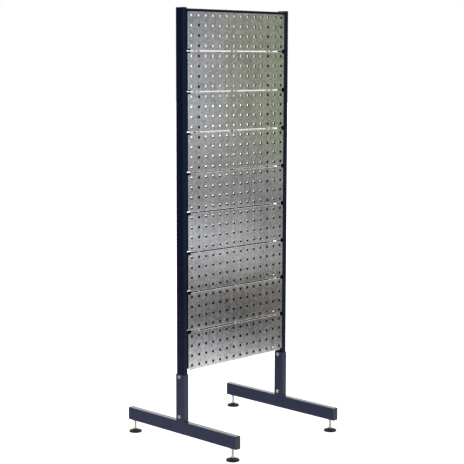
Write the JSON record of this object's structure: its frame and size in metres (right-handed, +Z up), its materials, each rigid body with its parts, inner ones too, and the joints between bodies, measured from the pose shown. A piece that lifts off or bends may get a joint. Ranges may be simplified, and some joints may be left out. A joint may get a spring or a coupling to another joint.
{
  "type": "double-sided perforated panel stand",
  "caption": "Free-standing tool stand: two uprights on T feet carry a stack of perforated steel panels on each side; screw levelling feet with round pads.",
  "frame": {"origin": "centre of the footprint, on the floor", "axes": "+Z up, the front panels face -Y, +X to the right of a viewer in front"},
  "size_m": [0.609, 0.6, 1.671],
  "materials": {
    "painted_steel": "semi-gloss powder coat",
    "panel_steel": "satin zinc-coated sheet",
    "zinc_steel": "bright zinc plate",
    "cap_plastic": "matte",
    "pad_plastic": "matte"
  },
  "bodies": {
    "frame": {"upright_left": "painted_steel", "upright_right": "painted_steel", "upright_cap_left": "cap_plastic", "upright_cap_right": "cap_plastic", "top_rail": "painted_steel", "panel_front_1": "panel_steel", "panel_front_2": "panel_steel", "panel_front_3": "panel_steel", "panel_front_4": "panel_steel", "panel_front_5": "panel_steel", "panel_front_6": "panel_steel", "panel_front_7": "panel_steel", "panel_front_8": "panel_steel", "panel_front_9": "panel_steel", "panel_back_1": "panel_steel", "panel_back_2": "panel_steel", "panel_back_3": "panel_steel", "panel_back_4": "panel_steel", "panel_back_5": "panel_steel", "panel_back_6": "panel_steel", "panel_back_7": "panel_steel", "panel_back_8": "panel_steel", "panel_back_9": "panel_steel", "strap_front_left": "panel_steel", "strap_front_centre": "panel_steel", "strap_front_right": "panel_steel", "strap_back_left": "panel_steel", "strap_back_centre": "panel_steel", "strap_back_right": "panel_steel", "panel_pins_left": "painted_steel", "panel_pins_right": "painted_steel", "sleeve_left": "painted_steel", "sleeve_right": "painted_steel", "base_tube_left": "painted_steel", "base_tube_right": "painted_steel", "base_cap_left_front": "cap_plastic", "base_cap_left_back": "cap_plastic", "base_cap_right_front": "cap_plastic", "base_cap_right_back": "cap_plastic", "insert_left_front": "zinc_steel", "insert_left_back": "zinc_steel", "insert_right_front": "zinc_steel", "insert_right_back": "zinc_steel", "clamp_bolts": "zinc_steel", "clamp_nuts": "zinc_steel"},
    "pad_left_front": {"pad_left_front": "pad_plastic"},
    "stud_left_front": {"stud_left_front": "zinc_steel"},
    "pad_left_back": {"pad_left_back": "pad_plastic"},
    "stud_left_back": {"stud_left_back": "zinc_steel"},
    "pad_right_front": {"pad_right_front": "pad_plastic"},
    "stud_right_front": {"stud_right_front": "zinc_steel"},
    "pad_right_back": {"pad_right_back": "pad_plastic"},
    "stud_right_back": {"stud_right_back": "zinc_steel"}
  },
  "joints": [
    {"name": "height_left_front", "type": "slide", "parent": "frame", "child": "pad_left_front", "axis": [0, 0, -1], "range_m": [-0.02, 0.01]},
    {"name": "spin_left_front", "type": "hinge", "parent": "pad_left_front", "child": "stud_left_front", "pos_m": [-0.2795, -0.273, 0.0065], "axis": [0, 0, -1], "range_deg": [-4800, 2400]},
    {"name": "height_left_back", "type": "slide", "parent": "frame", "child": "pad_left_back", "axis": [0, 0, -1], "range_m": [-0.02, 0.01]},
    {"name": "spin_left_back", "type": "hinge", "parent": "pad_left_back", "child": "stud_left_back", "pos_m": [-0.2795, 0.273, 0.0065], "axis": [0, 0, -1], "range_deg": [-4800, 2400]},
    {"name": "height_right_front", "type": "slide", "parent": "frame", "child": "pad_right_front", "axis": [0, 0, -1], "range_m": [-0.02, 0.01]},
    {"name": "spin_right_front", "type": "hinge", "parent": "pad_right_front", "child": "stud_right_front", "pos_m": [0.2795, -0.273, 0.0065], "axis": [0, 0, -1], "range_deg": [-4800, 2400]},
    {"name": "height_right_back", "type": "slide", "parent": "frame", "child": "pad_right_back", "axis": [0, 0, -1], "range_m": [-0.02, 0.01]},
    {"name": "spin_right_back", "type": "hinge", "parent": "pad_right_back", "child": "stud_right_back", "pos_m": [0.2795, 0.273, 0.0065], "axis": [0, 0, -1], "range_deg": [-4800, 2400]}
  ],
  "couplings": [
    {"joint": "spin_left_front", "follows": "height_left_front", "rad_per_m": 4188.8},
    {"joint": "spin_left_back", "follows": "height_left_back", "rad_per_m": 4188.8},
    {"joint": "spin_right_front", "follows": "height_right_front", "rad_per_m": 4188.8},
    {"joint": "spin_right_back", "follows": "height_right_back", "rad_per_m": 4188.8}
  ]
}
